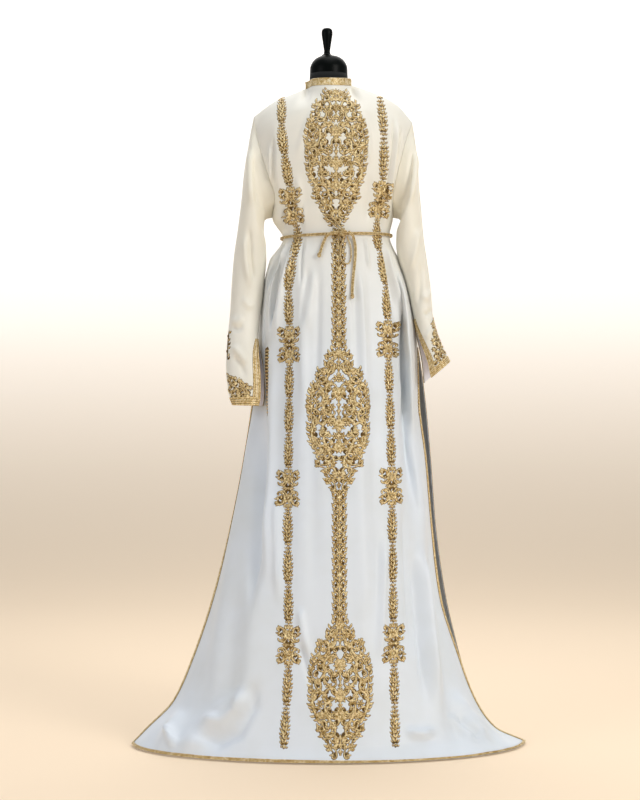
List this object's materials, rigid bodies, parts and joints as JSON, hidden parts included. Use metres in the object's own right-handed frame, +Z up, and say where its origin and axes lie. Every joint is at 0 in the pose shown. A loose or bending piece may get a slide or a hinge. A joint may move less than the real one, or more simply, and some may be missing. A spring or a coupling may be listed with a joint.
{
  "type": "moroccan kaftan on a limbless dress form",
  "caption": "Long ivory satin kaftan with gold embroidery down the back, gold braid edges, side slits and a tied cord belt, worn on a black dress form with a round stand.",
  "frame": {"origin": "centre of the underside of the stand's round base, on the floor", "axes": "+Z up along the stand; -Y is the way the wearer's back faces, so +X is the wearer's right"},
  "size_m": [0.9174, 0.5613, 1.686],
  "materials": {
    "satin": "satin",
    "sleeve_satin": "satin",
    "gold_braid": "metallic thread",
    "gold_embroidery": "metallic thread",
    "belt_cord": "metallic thread",
    "black_jersey": "matt",
    "black_lacquer": "gloss"
  },
  "bodies": {
    "root": {"back_panel": "satin", "front_panel_left": "satin", "front_panel_right": "satin", "sleeve_left": "sleeve_satin", "sleeve_right": "sleeve_satin", "cuff_braid_left": "gold_braid", "cuff_braid_right": "gold_braid", "back_edge_braid": "gold_braid", "front_edge_braid_left": "gold_braid", "front_edge_braid_right": "gold_braid", "neck_band": "gold_braid", "neck_edge_braid": "gold_braid", "front_knots": "gold_braid", "slit_ladder_left": "gold_braid", "slit_ladder_right": "gold_braid", "cuff_embroidery_left": "gold_embroidery", "cuff_embroidery_right": "gold_embroidery", "medallion_upper": "gold_embroidery", "medallion_middle": "gold_embroidery", "medallion_lower": "gold_embroidery", "column_upper": "gold_embroidery", "column_lower": "gold_embroidery", "side_column_left": "gold_embroidery", "side_column_right": "gold_embroidery", "belt_ring": "belt_cord", "belt_knot": "belt_cord", "tail_left": "belt_cord", "tail_right": "belt_cord", "loop_lower": "belt_cord", "loop_upper": "belt_cord", "end_knot_left": "belt_cord", "end_knot_right": "belt_cord", "form_torso": "black_jersey", "neck_cap": "black_lacquer", "finial": "black_lacquer", "stand_pole": "black_lacquer", "stand_base": "black_lacquer"}
  },
  "joints": []
}
